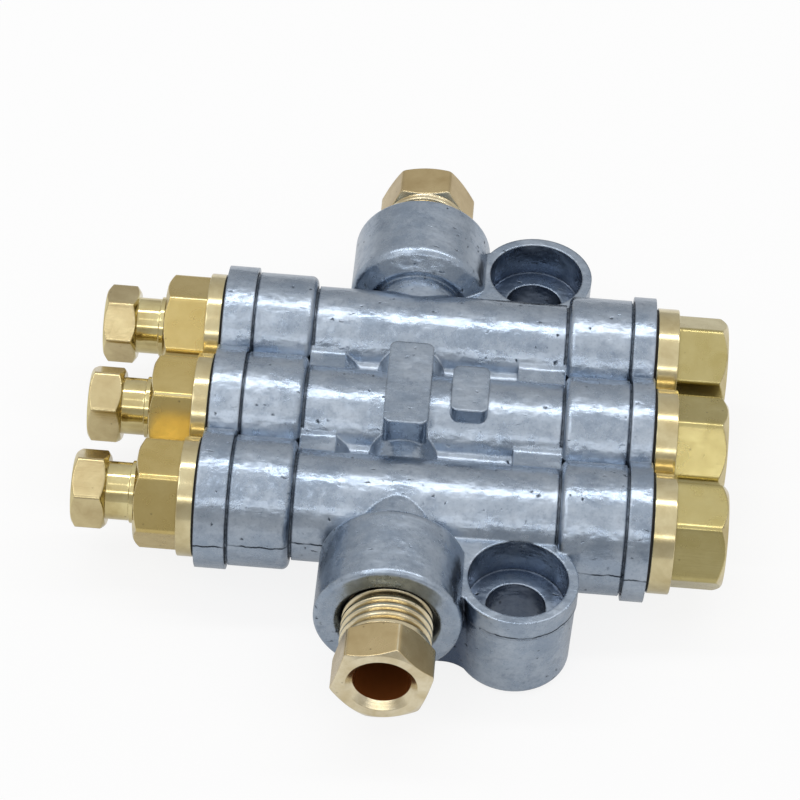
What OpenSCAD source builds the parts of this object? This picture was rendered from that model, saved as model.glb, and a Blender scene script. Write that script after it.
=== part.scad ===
// Positive displacement injector, three outlets, for a single line oil system.
// Origin: on the mounting face, midway between the two mounting holes.
// The outlets point to -X, the metering caps to +X and the main line runs along Y.

/* [Casting] */
// Distance between neighbouring barrel axes
barrel_pitch = 13.5; // [13.5:0.1:15]
// Outside diameter of a barrel
barrel_d = 12.4; // [12.2:0.1:13.4]
// Outside diameter of the collars at both ends of a barrel
collar_d = 14.6; // [14:0.1:15]
// Outside diameter of the end collars
end_collar_d = 15.6; // [14.8:0.1:16]
// Gap between the end collars and the mounting face
collar_lift = 1.4; // [0:0.05:3]
// From the main line axis to the outlet end of the casting
body_left = 22.1; // [21.5:0.1:30]
// From the main line axis to the cap end of the casting
body_right = 27.8; // [27:0.1:36]
// Width of the end collar at the outlet end
end_collar_left = 3.4; // [1:0.1:6]
// Width of the collar at the outlet end
collar_left = 7; // [4:0.1:9]
// Width of the end collar at the cap end
end_collar_right = 2.5; // [1:0.1:6]
// Width of the collar at the cap end
collar_right = 7.5; // [4:0.1:9]
// Radius on the inner edge of each collar
collar_round = 0.8; // [0.3:0.1:1]
// Width of the seam groove beside each step
seam_w = 0.3; // [0.1:0.05:0.6]
// Depth of the seam groove
seam_depth = 0.3; // [0.1:0.05:0.6]
// Height of the valley floor above the barrel axis
valley_floor = 2; // [1.8:0.1:3]
// Height of the valley fill beside the collars
fill_top = 3.2; // [3:0.1:4]
// Radius between a valley floor and the barrels
valley_round = 1; // [0.8:0.05:1.2]
// Length of the valley fill at the outlet end
fill_left = 4; // [1:0.1:5]
// Length of the slope at the end of that fill
fill_slope = 1.7; // [0.5:0.1:2]
// Length of the valley fill at the cap end
fill_right = 5.5; // [1:0.1:8]

/* [Bridge and pad] */
// Width of the bridge over the middle barrel
bridge_w = 5; // [4:0.1:7]
// Length of the bridge across the barrels
bridge_l = 13; // [9:0.1:14]
// Height of the bridge above the barrel axis
bridge_top = 7.3; // [7:0.1:9]
// Height of the pad above the barrel axis
pad_top = 7; // [6.8:0.1:9]
// Width of the pad beside the bridge
pad_w = 4.2; // [2:0.1:6]
// Length of the pad
pad_l = 7.2; // [4:0.1:9]
// Gap between the bridge and the pad
pad_gap = 2.4; // [1:0.1:3]
// Corner radius of the bridge and the pad
pad_round = 0.9; // [0.3:0.1:1.5]

/* [Main line] */
// Height of the main line axis above the barrel axis
port_lift = 0.3; // [0:0.1:0.8]
// Outside diameter of a port boss
boss_d = 16.2; // [15:0.1:18]
// Distance between the two port faces
boss_span = 60.6; // [59:0.1:70]
// Length of a port boss
boss_l = 9.2; // [8.8:0.1:12]
// Radius on the outer edge of a boss
boss_round = 0.6; // [0.3:0.1:1]
// Length of the cone behind a boss
boss_cone_l = 1.5; // [1:0.1:2.5]
// Diameter of that cone where it meets the neck
boss_cone_d = 12; // [11.2:0.1:14]
// Radius between a boss and the cone behind it
boss_back_round = 1.2; // [0.4:0.1:1.5]
// Outside diameter of the neck behind a boss
neck_d = 10.6; // [9:0.1:11]
// Outside diameter of the gallery rib in the valleys
rib_d = 8.4; // [7:0.1:9]
// Diameter of the gallery drilled through the barrels
gallery_d = 4.5; // [3:0.1:5]
// Thread diameter of the main line ports
port_thread_d = 10; // [9.6:0.1:11]
// Depth of the port thread
port_depth = 5.2; // [4.9:0.1:6]
// Diameter of the chamfer at the mouth of a port
port_mouth_d = 11.6; // [11.2:0.1:13]
// Diameter of the main line tube
port_tube_d = 6; // [4:0.1:6]
// Width across flats of a main line nut
port_nut_af = 10; // [9.6:0.1:12]
// Length of a main line nut's hexagon
port_nut_hex_l = 4.8; // [3:0.1:7]
// Depth to which a main line nut is screwed in
port_nut_in = 4.4; // [3:0.1:4.7]
// Free thread between the front nut's hexagon and its port
front_nut_out = 4.2; // [1:0.1:6]
// Free thread between the rear nut's hexagon and its port
rear_nut_out = 4.5; // [1:0.1:6]

/* [Mounting lugs] */
// Distance between the two mounting holes
hole_spacing = 48.9; // [47.4:0.1:52]
// From the main line axis to the line of the mounting holes
lug_offset = 13.75; // [13:0.05:16]
// Diameter of a mounting hole
hole_d = 6.6; // [5:0.1:7]
// Diameter of the counterbore for the screw head
counterbore_d = 11; // [9.5:0.1:11.6]
// Depth of the counterbore
counterbore_depth = 4.5; // [2:0.1:6]
// Outside diameter of a lug at the top
lug_d = 13.2; // [12.8:0.1:15]
// Outside diameter of a lug at the mounting face
lug_foot_d = 12.6; // [11:0.1:12.6]
// Height of a lug
lug_h = 11.9; // [10:0.1:13]
// Height of the rim band around the top of a lug
lug_rim_h = 2.7; // [1:0.1:4]
// Step between the rim band and the lug below it
lug_rim_step = 0.12; // [0.05:0.01:0.3]
// Radius on the bottom edge of a lug
lug_foot_round = 0.8; // [0.3:0.1:1.2]
// Thickness of the web between a lug and the casting
web_t = 8.5; // [4:0.1:9]
// How far the foot between a lug and its boss reaches to both sides of the lug's axis
foot_w = 3; // [2:0.1:3.6]
// Radius of the fillet where that foot meets the lug
foot_fillet = 4; // [3:0.1:5]

/* [Outlet fittings] */
// Thread diameter of the outlet bodies and the caps
barrel_thread_d = 11; // [10.4:0.1:11.4]
// Depth of the threaded bore at the outlet end
outlet_depth = 8.5; // [8:0.1:9]
// Diameter of the round flanges
flange_d = 13.4; // [13:0.1:13.4]
// Width of an outlet body's flange
outlet_flange_w = 1.8; // [1:0.1:4]
// Width across flats of the outlet bodies and the caps
barrel_hex_af = 11; // [10.4:0.1:11.4]
// Length of an outlet body's hexagon
outlet_hex_l = 4.9; // [4.2:0.1:8]
// Thickness of the sealing washer under an outlet body
outlet_washer_t = 0.3; // [0.2:0.1:1]
// Thread diameter of an outlet nut
outlet_thread_d = 7.8; // [7:0.1:8.4]
// Depth of the thread for an outlet nut
outlet_thread_l = 2.8; // [2.6:0.1:3.5]
// Diameter of an outlet tube
outlet_tube_d = 4; // [3:0.1:4]
// Width across flats of an outlet nut
outlet_nut_af = 8; // [7.8:0.1:10]
// Length of an outlet nut's hexagon
outlet_nut_hex_l = 3.8; // [3:0.1:7]
// Depth to which an outlet nut is screwed in
outlet_nut_in = 2; // [1.5:0.1:2.4]
// Free thread between an outlet body and the neck of its nut
outlet_nut_thread = 0.7; // [0.5:0.1:3]
// Length of the plain neck of an outlet nut
outlet_neck_l = 2.6; // [0.5:0.1:3]
// Diameter of the plain neck of an outlet nut
outlet_neck_d = 6.5; // [5.6:0.1:6.8]

/* [Check valves] */
// Thickness of the check valve seat
seat_t = 1; // [0.6:0.1:1.4]
// Hole through the check valve seat
seat_hole_d = 2.2; // [1.2:0.1:2.4]
// Diameter of the check valve chamber
check_bore_d = 6; // [5.4:0.1:7]
// Diameter of the check valve disc
check_disc_d = 4.8; // [4:0.1:5.2]
// Thickness of the check valve disc
check_disc_t = 1.2; // [0.6:0.1:1.5]
// Diameter of the check valve stem
check_stem_d = 1.8; // [1:0.1:2]
// Length of the check valve stem
check_stem_l = 2.5; // [1:0.1:3]
// Opening travel of the check valve
check_travel = 1.2; // [0.5:0.1:1.3]
// Wire diameter of the check valve spring
check_wire_d = 0.4; // [0.2:0.05:0.45]

/* [Transfer valves] */
// Diameter of the inlet chamber
inlet_d = 6.4; // [5:0.1:7]
// Diameter of the transfer valve chamber
chamber_d = 8; // [7.2:0.1:9]
// Outside diameter of the control tube
tube_d = 2.2; // [1.8:0.1:2.6]
// Bore of the control tube
tube_bore_d = 1.2; // [0.8:0.1:1.3]
// Length of a transfer seal
seal_l = 3.2; // [2:0.1:3.6]
// Travel of a transfer seal
seal_travel = 1.6; // [1:0.1:1.8]

/* [Metering] */
// Dose of the rear outlet in hundredths of a cubic centimetre
dose_rear = 5; // [1:1:10]
// Dose of the middle outlet in hundredths of a cubic centimetre
dose_middle = 5; // [1:1:10]
// Dose of the front outlet in hundredths of a cubic centimetre
dose_front = 3; // [1:1:10]
// Diameter of the metering pistons
piston_d = 6; // [5.6:0.1:6.4]
// Length of a metering piston
piston_l = 4; // [3:0.1:5]
// Diameter of the spring guide on a piston
guide_d = 3; // [2:0.1:3.2]
// Length of the spring guide on a piston
guide_l = 1.5; // [0.5:0.1:3]
// Cross section of the piston ring
ring_w = 1.1; // [0.8:0.1:1.4]
// Diameter of the plain pilot of a metering cap
pilot_d = 9.6; // [9.2:0.1:9.9]
// Length of the threaded bore at the cap end
cap_thread_l = 8; // [5:0.1:10]
// Cross section of the ring on the pilot
pilot_ring_w = 1.1; // [0.8:0.1:1.3]
// Thickness of the sealing washer under a cap
cap_washer_t = 0.3; // [0.2:0.1:1]
// Width of a cap's flange
cap_flange_w = 2.5; // [1:0.1:4]
// Length of a cap's hexagon
cap_hex_l = 5.8; // [3:0.1:8]
// Length of a piston spring
spring_l = 14; // [11:0.1:18]
// Wire diameter of a piston spring
spring_wire_d = 0.6; // [0.4:0.05:0.6]

/* [Fits] */
// Gap all round between a thread and its bore
thread_gap = 0.05; // [0.02:0.01:0.1]
// Gap all round between a sliding piece and its bore
sliding_gap = 0.03; // [0.02:0.01:0.08]
// Gap between a piece at rest and its stop
rest_gap = 0.3; // [0.1:0.05:0.4]
// Gap between a valve disc and its seat
seat_gap = 0.1; // [0.05:0.01:0.2]
// Gap between a tube and the hole that it goes through
tube_gap = 0.1; // [0.05:0.01:0.2]

/* [Hidden] */

// Rear, middle and front barrel, as the three places in the lists below
rear = 0;
middle = 1;
front = 2;
doses = [dose_rear, dose_middle, dose_front];

// Turn of each hexagon about its own axis, in degrees
outlet_turn = [12, 30, 26];
outlet_nut_turn = [16, 55, 58];
cap_turn = [1, 16, 35];
rear_nut_turn = -4;
front_nut_turn = 15;

// Smoothness of round surfaces, of small rings and of spring wire
$fn = 64;
ring_sides = 32;
wire_sides = 6;
turn_steps = 12;

// Heights and places that the driving sizes give
axis_z = end_collar_d / 2 + collar_lift;
port_z = axis_z + port_lift;
port_x = -lug_offset;
boss_face = boss_span / 2;
boss_back = boss_face - boss_l;
inner_left = -body_left + end_collar_left + collar_left;
inner_right = body_right - end_collar_right - collar_right;
barrel_r = barrel_d / 2;
thread_r = barrel_thread_d / 2;
bore_r = thread_r + thread_gap;
washer_inset = 0.2;
washer_r = flange_d / 2 - washer_inset;

// How far bodies that join reach into each other, and how far a cut runs past its surface
overlap = 0.01;
past = 1;

// How far the web of a lug stays inside the lug's outline
web_inset = 2;

// Hexagons: radii at the worn corners and at the chamfer's small end, and the chamfer's slope
worn_corner = 0.975;
chamfer_start = 0.98;
chamfer_slope = 0.7;

// Stations along a barrel, measured from the main line axis towards the cap
gallery_margin = 0.35;
inlet_front = gallery_d / 2 + gallery_margin;
inlet_back = -inlet_front - gallery_margin;
seal_start = inlet_front + rest_gap;
seal_end = seal_start + seal_l;
stop_t = 0.9;
stop_collar_w = 0.8;
cross_hole_r = 0.4;
stop_start = seal_end + seal_travel + rest_gap;
tube_end = stop_start + stop_t;
chamber_end = tube_end + rest_gap;
pilot_end = chamber_end + rest_gap;
piston_start = tube_end + rest_gap;
piston_end = piston_start + piston_l;
spring_end = piston_end + spring_l;
cap_thread_end = body_right - cap_thread_l;
cap_face = body_right + cap_washer_t;
cap_hex_start = cap_face + cap_flange_w;
cap_end = cap_hex_start + cap_hex_l;

// Stations towards the outlet
seat_face = -body_left + outlet_depth - seat_t;
outlet_face = -body_left - outlet_washer_t;
outlet_hex_end = outlet_face - outlet_flange_w;
outlet_end = outlet_hex_end - outlet_hex_l;
disc_face = seat_face - seat_gap;
disc_back = disc_face - check_disc_t;
check_room = 4.8;
check_end = disc_back - check_room;
outlet_nut_tip = outlet_end + outlet_nut_in;
outlet_neck_end = outlet_end - outlet_nut_thread;
outlet_nut_hex = outlet_neck_end - outlet_neck_l;
outlet_nut_end = outlet_nut_hex - outlet_nut_hex_l;

// Transfer seal: the walls of its hub side and of its lip, and the taper at its closed end
seal_wall = 1.5;
lip_t = 0.5;
seal_taper = 0.8;

// Gaps beside a spring's guide, beside a ring in its groove, round a seat and round a tube
// that is pressed in
guide_gap = 0.3;
groove_gap = 0.1;
seat_side_gap = 0.2;
press_gap = 0.02;

// Lead-in chamfers of the tube holes in the nuts
port_nut_lead = 0.8;
outlet_nut_lead = 0.6;

// Passage through an outlet body
passage_r = 1;

// Radii of the sliding pieces
cap_bore_r = piston_d / 2 + sliding_gap;
seal_bore_r = tube_d / 2 + sliding_gap;
chamber_r = chamber_d / 2;
spring_r = guide_d / 2 + spring_wire_d / 2 + guide_gap;
spring_room_r = spring_r + spring_wire_d / 2 + tube_gap;
check_spring_r = check_stem_d / 2 + check_wire_d / 2 + guide_gap;

// Ferrules: their wall at the ends and at the middle, and the gap to both cones
ferrule_end_wall = 0.3;
ferrule_wall = 0.9;
ferrule_gap = 0.15;

// Mouths of the cones that grip the ferrules, in the ports, outlet bodies and nuts
port_cone_r = port_thread_d / 2 - 0.6;
port_nut_cone_r = port_thread_d / 2 - 0.8;
outlet_cone_r = outlet_thread_d / 2 - 0.5;
outlet_nut_cone_r = outlet_thread_d / 2 - 0.7;

// Depth of the tube sockets behind the ferrule cones
port_socket_l = 2.6;
outlet_socket_l = 0.8;

// From the tip of a cap's pilot to the middle of its ring
pilot_ring_at = 2.5;

function barrel_y(k) = (1 - k) * barrel_pitch;
function stroke(k) = doses[k] * 10 / (PI * pow(piston_d / 2, 2));
function piston_stop(k) = piston_end + stroke(k) + seat_gap;

// Moves a piece from its own Z axis onto a barrel, with Z towards the cap
module on_barrel(k) {
  translate([port_x, barrel_y(k), axis_z]) rotate([0, 90, 0]) children();
}

// Moves a piece from its own Z axis onto the main line, with Z outwards
module on_port(side) {
  translate([port_x, 0, port_z]) rotate([-90 * side, 0, 0]) children();
}

// Round length of bar from one station to another
module bar(from, to, r) {
  translate([0, 0, from]) cylinder(h = to - from, r = r);
}

// Cone from one station to another
module cone(from, to, r_from, r_to) {
  translate([0, 0, from]) cylinder(h = to - from, r1 = r_from, r2 = r_to);
}

// Ring with a round cross section, centred at a station
module round_ring(at, outer_r, section_d) {
  translate([0, 0, at]) rotate_extrude()
    translate([outer_r - section_d / 2, 0]) circle(d = section_d, $fn = ring_sides);
}

// Hexagon bar with turned chamfers at both ends and worn corners
module hex_bar(from, to, af, turn) {
  corner_r = af / sqrt(3);
  edge_r = corner_r * worn_corner;
  chamfer_in = af / 2 * chamfer_start;
  chamfer_l = (edge_r - chamfer_in) * chamfer_slope;
  intersection() {
    rotate([0, 0, turn]) translate([0, 0, from])
      cylinder(h = to - from, r = corner_r, $fn = 6);
    rotate_extrude() polygon([
      [0, from], [chamfer_in, from], [edge_r, from + chamfer_l],
      [edge_r, to - chamfer_l], [chamfer_in, to], [0, to]]);
  }
}

// Two start points along a wire that winds round the Z axis
module coil(from, to, mean_r, wire_d, turns) {
  steps = turns * turn_steps;
  rise = to - from - wire_d;
  ring = [for (j = [0 : wire_sides - 1]) 360 / wire_sides * j];
  points = [for (i = [0 : steps]) for (a = ring)
    let (turn = 360 * i / turn_steps, r = mean_r + wire_d / 2 * cos(a))
    [r * cos(turn), r * sin(turn), from + wire_d / 2 + rise * i / steps + wire_d / 2 * sin(a)]];
  sides = [for (i = [0 : steps - 1]) for (j = [0 : wire_sides - 1])
    let (a = i * wire_sides + j, b = i * wire_sides + (j + 1) % wire_sides)
    [a, a + wire_sides, b + wire_sides, b]];
  start_cap = [[for (j = [0 : wire_sides - 1]) j]];
  end_cap = [[for (j = [0 : wire_sides - 1]) steps * wire_sides + wire_sides - 1 - j]];
  polyhedron(points, concat(sides, start_cap, end_cap), convexity = 10);
}

// Length of a barrel with one or two rounded ends, as a turned outline
module collar(from, to, r, round_from, round_to) {
  rotate_extrude() {
    translate([0, from + round_from]) square([r, to - from - round_from - round_to]);
    translate([0, from]) square([r - max(round_from, round_to), to - from]);
    if (round_from > 0)
      translate([r - round_from, from + round_from]) circle(r = round_from);
    if (round_to > 0)
      translate([r - round_to, to - round_to]) circle(r = round_to);
  }
}

// One barrel of the casting, before it is bored
module barrel() {
  step_left = -body_left + end_collar_left;
  step_right = body_right - end_collar_right;
  seam_r = collar_d / 2 - seam_depth;
  bar(-body_left, step_left, end_collar_d / 2);
  bar(step_left - overlap, step_left + seam_w + overlap, seam_r);
  collar(step_left + seam_w, inner_left, collar_d / 2, 0, collar_round);
  bar(inner_left - overlap, inner_left + seam_w + overlap, barrel_r - seam_depth);
  bar(inner_left + seam_w, inner_right - seam_w, barrel_r);
  bar(inner_right - seam_w - overlap, inner_right + overlap, barrel_r - seam_depth);
  collar(inner_right, step_right - seam_w, collar_d / 2, collar_round, 0);
  bar(step_right - seam_w - overlap, step_right + overlap, seam_r);
  bar(step_right, body_right, end_collar_d / 2);
}

// Bar between two barrels, from one station to another, with its top at a height
// and rounded into both barrels
module valley_block(k, from, to, top) {
  y = (barrel_y(k) + barrel_y(k + 1)) / 2;
  w = barrel_pitch / 2;
  arc_r = valley_round + 2 * overlap;
  arc_z = top + arc_r;
  arc_y = w - sqrt(pow(barrel_r + valley_round, 2) - pow(top + valley_round, 2));
  foot_z = arc_z * barrel_r / (barrel_r + valley_round);
  translate([port_x + from, y, axis_z]) rotate([90, 0, 90]) linear_extrude(to - from)
    difference() {
      translate([-w / 2, -valley_floor]) square([w, valley_floor + foot_z]);
      for (side = [-1, 1]) translate([side * arc_y, arc_z]) circle(r = arc_r);
      translate([-arc_y, top]) square([2 * arc_y, foot_z]);
    }
}

// Floor, fills and sloping end of one valley
module valley(k) {
  y = (barrel_y(k) + barrel_y(k + 1)) / 2;
  w = barrel_pitch / 2;
  slope_start = inner_left + fill_left;
  valley_block(k, -body_left + end_collar_left, body_right - end_collar_right, valley_floor);
  valley_block(k, inner_left - overlap, slope_start, fill_top);
  valley_block(k, inner_right - fill_right, inner_right + overlap, fill_top);
  translate([port_x, y + w / 2, axis_z]) rotate([90, 0, 0]) linear_extrude(w) polygon([
    [slope_start - overlap, 0], [slope_start - overlap, fill_top],
    [slope_start, fill_top], [slope_start + fill_slope, valley_floor],
    [slope_start + fill_slope, 0]]);
}

// Flat topped block with rounded corners, from the barrel axis up to a height
module block_with_corners(x, l, w, top) {
  r = pad_round;
  translate([port_x + x, 0, axis_z]) linear_extrude(top) {
    square([w - 2 * r, l], center = true);
    square([w, l - 2 * r], center = true);
    for (sx = [-1, 1], sy = [-1, 1])
      translate([sx * (w / 2 - r), sy * (l / 2 - r)]) circle(r = r);
  }
}

// Boss of one main line port with the cone and the neck behind it
module boss() {
  boss_r = boss_d / 2;
  cone_start = boss_back - boss_cone_l;
  cone_turn = atan2(boss_r - boss_cone_d / 2, boss_cone_l);
  cut = boss_back_round * tan(cone_turn / 2);
  rotate_extrude() {
    polygon([
      [0, cone_start], [boss_cone_d / 2, cone_start],
      [boss_r - cut * sin(cone_turn), boss_back - cut * cos(cone_turn)],
      [boss_r, boss_back + cut],
      [boss_r, boss_face - boss_round], [0, boss_face - boss_round]]);
    translate([boss_r - boss_back_round, boss_back + cut]) circle(r = boss_back_round);
    translate([0, boss_back]) square([boss_r - boss_back_round, boss_l]);
    translate([0, boss_face - boss_l / 2]) square([boss_r - boss_round, boss_l / 2]);
    translate([boss_r - boss_round, boss_face - boss_round]) circle(r = boss_round);
  }
  bar(barrel_pitch, boss_back, neck_d / 2);
}

// Foot from the main line axis to a lug, just off the mounting face, with a fillet on its outer side
module boss_foot() {
  foot_r = lug_foot_d / 2;
  centre_y = foot_w + foot_fillet;
  centre_x = -sqrt(pow(foot_r + foot_fillet, 2) - pow(centre_y, 2));
  touch = foot_r / (foot_r + foot_fillet);
  translate([0, 0, lug_foot_round]) linear_extrude(lug_h - lug_foot_round) difference() {
    polygon([[port_x, -foot_w], [0, -foot_w], [0, 0],
      [centre_x * touch, centre_y * touch], [centre_x, foot_w], [port_x, foot_w]]);
    translate([centre_x, centre_y]) circle(r = foot_fillet);
  }
}

// One mounting lug with its web and its foot, before it is drilled
module lug(side) {
  rim_z = lug_h - lug_rim_h;
  rim_r = lug_d / 2;
  foot_r = lug_foot_d / 2;
  web_right = lug_d / 2 - web_inset;
  lug_y = hole_spacing / 2;
  web_inner = barrel_pitch + barrel_r / 2;
  translate([0, side * lug_y, 0]) {
    rotate_extrude() {
      polygon([
        [0, 0], [foot_r - lug_foot_round, 0], [foot_r, lug_foot_round],
        [rim_r - lug_rim_step, rim_z], [rim_r, rim_z], [rim_r, lug_h], [0, lug_h]]);
      translate([foot_r - lug_foot_round, lug_foot_round]) circle(r = lug_foot_round);
    }
    if (side > 0) boss_foot();
    else mirror([0, 1, 0]) boss_foot();
  }
  translate([port_x, side > 0 ? web_inner : -lug_y, lug_h - web_t])
    cube([web_right - port_x, lug_y - web_inner, web_t]);
}

// Hole and counterbore of one lug
module lug_hole(side) {
  translate([0, side * hole_spacing / 2, 0]) {
    bar(-past, lug_h + past, hole_d / 2);
    bar(lug_h - counterbore_depth, lug_h + overlap, counterbore_d / 2);
  }
}

// Threaded port, tube stop and ferrule cone of one side of the main line
module port_bore() {
  socket_r = port_tube_d / 2 + tube_gap;
  thread_end = boss_face - port_depth;
  mouth_r = port_mouth_d / 2;
  port_r = port_thread_d / 2 + thread_gap;
  bar(thread_end, boss_face + past, port_r);
  cone(boss_face - (mouth_r - port_r), boss_face + overlap, port_r, mouth_r + overlap);
  cone(thread_end - (port_cone_r - socket_r), thread_end + overlap, socket_r,
    port_cone_r + overlap);
  bar(thread_end - port_socket_l, thread_end, socket_r);
}

// Bores of one barrel, from the outlet end to the cap end
module barrel_bore() {
  bar(-body_left - past, -body_left + outlet_depth, bore_r);
  bar(-body_left + outlet_depth - past, inlet_back + past, tube_d / 2 + press_gap);
  bar(inlet_back, inlet_front + overlap, inlet_d / 2);
  bar(inlet_front, chamber_end + overlap, chamber_r);
  bar(chamber_end, cap_thread_end + overlap, pilot_d / 2 + thread_gap);
  bar(cap_thread_end, body_right + past, bore_r);
}

module body_casting() {
  color("#8e9cab") difference() {
    union() {
      for (k = [rear : front]) on_barrel(k) barrel();
      for (k = [rear : middle]) valley(k);
      block_with_corners(0, bridge_l, bridge_w, bridge_top);
      block_with_corners(bridge_w / 2 + pad_gap + pad_w / 2, pad_l, pad_w, pad_top);
      for (side = [-1, 1]) {
        on_port(side) boss();
        on_port(side) bar(0, barrel_pitch, rib_d / 2);
        lug(side);
      }
    }
    for (k = [rear : front]) on_barrel(k) barrel_bore();
    for (side = [-1, 1]) {
      on_port(side) port_bore();
      on_port(side) bar(-overlap, boss_face, gallery_d / 2);
      lug_hole(side);
    }
  }
}

module outlet_body(k) {
  cone_start = outlet_end + outlet_thread_l;
  socket_r = outlet_tube_d / 2 + tube_gap;
  socket_end = cone_start + (outlet_cone_r - socket_r);
  color("#b09a63") on_barrel(k) difference() {
    union() {
      hex_bar(outlet_end, outlet_hex_end + overlap, barrel_hex_af, outlet_turn[k]);
      bar(outlet_hex_end, outlet_face, flange_d / 2);
      bar(outlet_face - overlap, seat_face, thread_r);
    }
    bar(outlet_end - past, cone_start, outlet_thread_d / 2 + thread_gap);
    cone(cone_start - overlap, socket_end, outlet_cone_r + overlap, socket_r);
    bar(cone_start, socket_end + outlet_socket_l, socket_r);
    bar(socket_end, check_end + past, passage_r);
    bar(check_end, seat_face + past, check_bore_d / 2);
  }
}

module outlet_washer(k) {
  color("#2b2a28") on_barrel(k) difference() {
    bar(outlet_face, -body_left, washer_r);
    bar(outlet_face - past, -body_left + past, bore_r);
  }
}

module outlet_nut(k) {
  hole_r = outlet_tube_d / 2 + tube_gap;
  lead_r = hole_r + outlet_nut_lead;
  color("#b8a468") on_barrel(k) difference() {
    union() {
      hex_bar(outlet_nut_end, outlet_nut_hex + overlap, outlet_nut_af, outlet_nut_turn[k]);
      bar(outlet_nut_hex, outlet_neck_end + overlap, outlet_neck_d / 2);
      bar(outlet_neck_end, outlet_nut_tip, outlet_thread_d / 2);
    }
    bar(outlet_nut_end - past, outlet_nut_tip + past, hole_r);
    cone(outlet_nut_end - overlap, outlet_nut_end + lead_r - hole_r, lead_r, hole_r);
    cone(outlet_nut_tip - (outlet_nut_cone_r - hole_r), outlet_nut_tip + overlap, hole_r,
      outlet_nut_cone_r);
  }
}

// Ferrule with a taper at both ends, between a nut's cone and a body's cone
module ferrule(nut_tip, nut_cone_r, body_cone, body_cone_r, tube_diameter) {
  inner_r = tube_diameter / 2 + tube_gap;
  end_r = inner_r + ferrule_end_wall;
  middle_r = inner_r + ferrule_wall;
  taper = middle_r - end_r;
  from = nut_tip - (nut_cone_r - end_r - ferrule_gap);
  to = body_cone + (body_cone_r - end_r - ferrule_gap);
  rotate_extrude() polygon([
    [inner_r, from], [end_r, from], [middle_r, from + taper],
    [middle_r, to - taper], [end_r, to], [inner_r, to]]);
}

module outlet_ferrule(k) {
  color("#c2ad6c") on_barrel(k)
    ferrule(outlet_nut_tip, outlet_nut_cone_r, outlet_end + outlet_thread_l, outlet_cone_r,
      outlet_tube_d);
}

module check_seat(k) {
  color("#b09a63") on_barrel(k) difference() {
    bar(seat_face, seat_face + seat_t, thread_r - seat_side_gap);
    bar(seat_face - past, seat_face + seat_t + past, seat_hole_d / 2);
  }
}

module check_disc(k) {
  color("#333536") on_barrel(k) {
    bar(disc_back, disc_face, check_disc_d / 2);
    bar(disc_back - check_stem_l, disc_back + overlap, check_stem_d / 2);
  }
}

module check_spring(k) {
  color("#a8adb2") on_barrel(k)
    coil(check_end, disc_back, check_spring_r, check_wire_d, 5);
}

module control_tube(k) {
  port_at = seal_end + seal_travel / 2;
  color("#c2ad6c") on_barrel(k) difference() {
    union() {
      bar(-body_left + outlet_depth, tube_end, tube_d / 2);
      bar(stop_start, tube_end, tube_d / 2 + stop_collar_w);
    }
    bar(-body_left + outlet_depth - past, stop_start, tube_bore_d / 2);
    translate([0, 0, port_at]) rotate([90, 0, 0]) translate([0, 0, -tube_d])
      cylinder(h = 2 * tube_d, r = cross_hole_r);
  }
}

// Sleeve on the control tube with a lip that opens towards the metering side
module transfer_seal(k) {
  lip_r = chamber_r - sliding_gap;
  hub_r = lip_r - seal_wall;
  color("#2f3133") on_barrel(k) rotate_extrude() polygon([
    [seal_bore_r, seal_start], [lip_r - seal_taper, seal_start], [lip_r, seal_start + seal_l * 0.6],
    [lip_r, seal_start + seal_l * 0.8], [lip_r - lip_t, seal_start + seal_l * 0.8],
    [hub_r, seal_start + seal_l * 0.4], [hub_r, seal_end], [seal_bore_r, seal_end]]);
}

module metering_piston(k) {
  groove_at = piston_start + piston_l / 2;
  piston_r = piston_d / 2;
  color("#b7bcc0") on_barrel(k) difference() {
    union() {
      bar(piston_start, piston_end, piston_r);
      bar(piston_end - overlap, piston_end + guide_l, guide_d / 2);
    }
    difference() {
      bar(groove_at - ring_w / 2 - groove_gap, groove_at + ring_w / 2 + groove_gap,
        piston_r + past);
      bar(groove_at - ring_w, groove_at + ring_w, piston_r - ring_w);
    }
  }
}

module piston_ring(k) {
  color("#2b2d2f") on_barrel(k)
    round_ring(piston_start + piston_l / 2, piston_d / 2, ring_w);
}

module piston_spring(k) {
  color("#a8adb2") on_barrel(k)
    coil(piston_end, spring_end, spring_r, spring_wire_d, 7);
}

module metering_cap(k) {
  ring_at = pilot_end + pilot_ring_at;
  pilot_r = pilot_d / 2;
  color("#b09a63") on_barrel(k) difference() {
    union() {
      bar(pilot_end, cap_thread_end + rest_gap, pilot_r);
      bar(cap_thread_end + rest_gap - overlap, cap_face + overlap, thread_r);
      bar(cap_face, cap_hex_start, flange_d / 2);
      hex_bar(cap_hex_start - overlap, cap_end, barrel_hex_af, cap_turn[k]);
    }
    bar(pilot_end - past, piston_stop(k), cap_bore_r);
    bar(pilot_end, spring_end, spring_room_r);
    difference() {
      bar(ring_at - pilot_ring_w / 2 - groove_gap, ring_at + pilot_ring_w / 2 + groove_gap,
        pilot_r + past);
      bar(ring_at - pilot_ring_w, ring_at + pilot_ring_w, pilot_r - pilot_ring_w);
    }
  }
}

module pilot_ring(k) {
  color("#2b2d2f") on_barrel(k)
    round_ring(pilot_end + pilot_ring_at, pilot_d / 2, pilot_ring_w);
}

module cap_washer(k) {
  color("#2b2a28") on_barrel(k) difference() {
    bar(body_right, cap_face, washer_r);
    bar(body_right - past, cap_face + past, bore_r);
  }
}

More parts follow.
